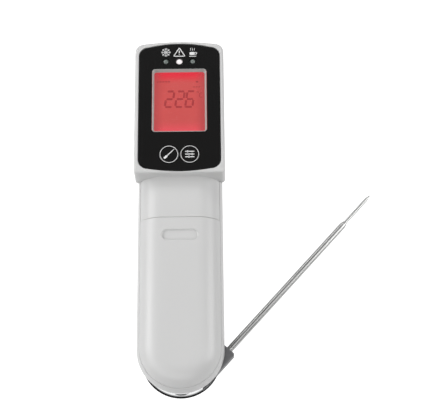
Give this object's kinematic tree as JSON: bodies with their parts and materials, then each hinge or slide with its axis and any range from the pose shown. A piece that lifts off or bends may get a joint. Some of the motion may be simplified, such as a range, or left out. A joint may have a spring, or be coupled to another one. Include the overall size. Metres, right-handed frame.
{
  "type": "food thermometer",
  "caption": "Hand-held food thermometer with a lit display, an infrared eye in its head and a thin steel probe that folds out of the handle.",
  "frame": {"origin": "centre of the handle's flat back", "axes": "+Y runs up the handle to the head, +Z comes out of the display, +X is the side the probe folds out of"},
  "size_m": [0.1234, 0.1854, 0.0451],
  "materials": {
    "casing": "satin white moulded plastic",
    "trigger_grip": "dark grey soft-touch rubber",
    "plate": "glossy black",
    "frame_grey": "light grey, matte",
    "clear": "clear and polished",
    "display_red": "red lit liquid crystal cell",
    "backlight": "diffuse light guide",
    "lamp_off": "tinted lens, unlit",
    "lamp_on": "lit lens",
    "board": "green solder mask",
    "chip": "black epoxy",
    "steel": "brushed along its length",
    "spring_steel": "bright drawn wire",
    "chrome": "bright plated",
    "hub_grey": "dark grey, lightly textured",
    "lens": "smoky infrared window",
    "tray": "pale grey, matte",
    "cell": "printed sleeve with bare ends",
    "brass": "turned",
    "rubber": "black",
    "wire_red": "insulation",
    "wire_black": "insulation",
    "wire_grey": "insulation"
  },
  "bodies": {
    "casing": {"front_housing": "casing", "rear_housing": "casing", "chrome_end_trim": "chrome", "housing_seal": "rubber", "case_screw_1": "steel", "case_screw_2": "steel", "case_screw_3": "steel", "case_screw_4": "steel", "face_plate": "plate", "lcd_bezel": "frame_grey", "lcd_window": "clear", "lcd_glass": "display_red", "lcd_backlight": "backlight", "zebra_strip": "rubber", "main_board": "board", "sensor_board": "board", "probe_switch": "chip", "mode_switch": "chip", "trigger_switch": "chip", "cold_led": "lamp_off", "warning_led": "lamp_on", "hot_led": "lamp_off", "controller_chip": "chip", "buzzer": "chip", "board_connector": "tray", "ir_barrel": "chip", "ir_lens": "lens", "ir_sensor": "steel", "aiming_led_left": "clear", "aiming_led_right": "clear", "trigger_spring": "spring_steel", "battery_tray": "tray", "battery_left": "cell", "battery_right": "cell", "contact_spring_left": "spring_steel", "contact_spring_right": "spring_steel", "contact_plate_left": "spring_steel", "contact_plate_right": "spring_steel", "battery_lead_red": "wire_red", "battery_lead_black": "wire_black", "probe_lead": "wire_grey", "pivot_pin": "brass", "pivot_washer": "spring_steel"},
    "cover": {"battery_cover": "casing"},
    "probe": {"probe_hub": "hub_grey", "probe_shaft": "steel", "probe_tip": "steel"},
    "probe_button": {"probe_key": "plate"},
    "mode_button": {"mode_key": "plate"},
    "trigger_lever": {"trigger": "trigger_grip"}
  },
  "joints": [
    {"name": "probe_fold", "type": "hinge", "parent": "casing", "child": "probe", "pos_m": [0.0156, -0.0436, 0.0108], "axis": [0, 0, 1], "range_deg": [-137.5, 42.5]},
    {"name": "battery_cover_slide", "type": "slide", "parent": "casing", "child": "cover", "axis": [0, -1, 0], "range_m": [0, 0.1]},
    {"name": "probe_key_press", "type": "slide", "parent": "casing", "child": "probe_button", "axis": [0, 0, -1], "range_m": [0, 0.00045], "stiffness_N_per_m": 4000, "springref_m": -0.0003},
    {"name": "mode_key_press", "type": "slide", "parent": "casing", "child": "mode_button", "axis": [0, 0, -1], "range_m": [0, 0.00045], "stiffness_N_per_m": 4000, "springref_m": -0.0003},
    {"name": "trigger_press", "type": "slide", "parent": "casing", "child": "trigger_lever", "axis": [0, 0, 1], "range_m": [0, 0.0018], "stiffness_N_per_m": 1500, "springref_m": -0.001, "deforming": ["trigger_spring"]}
  ]
}
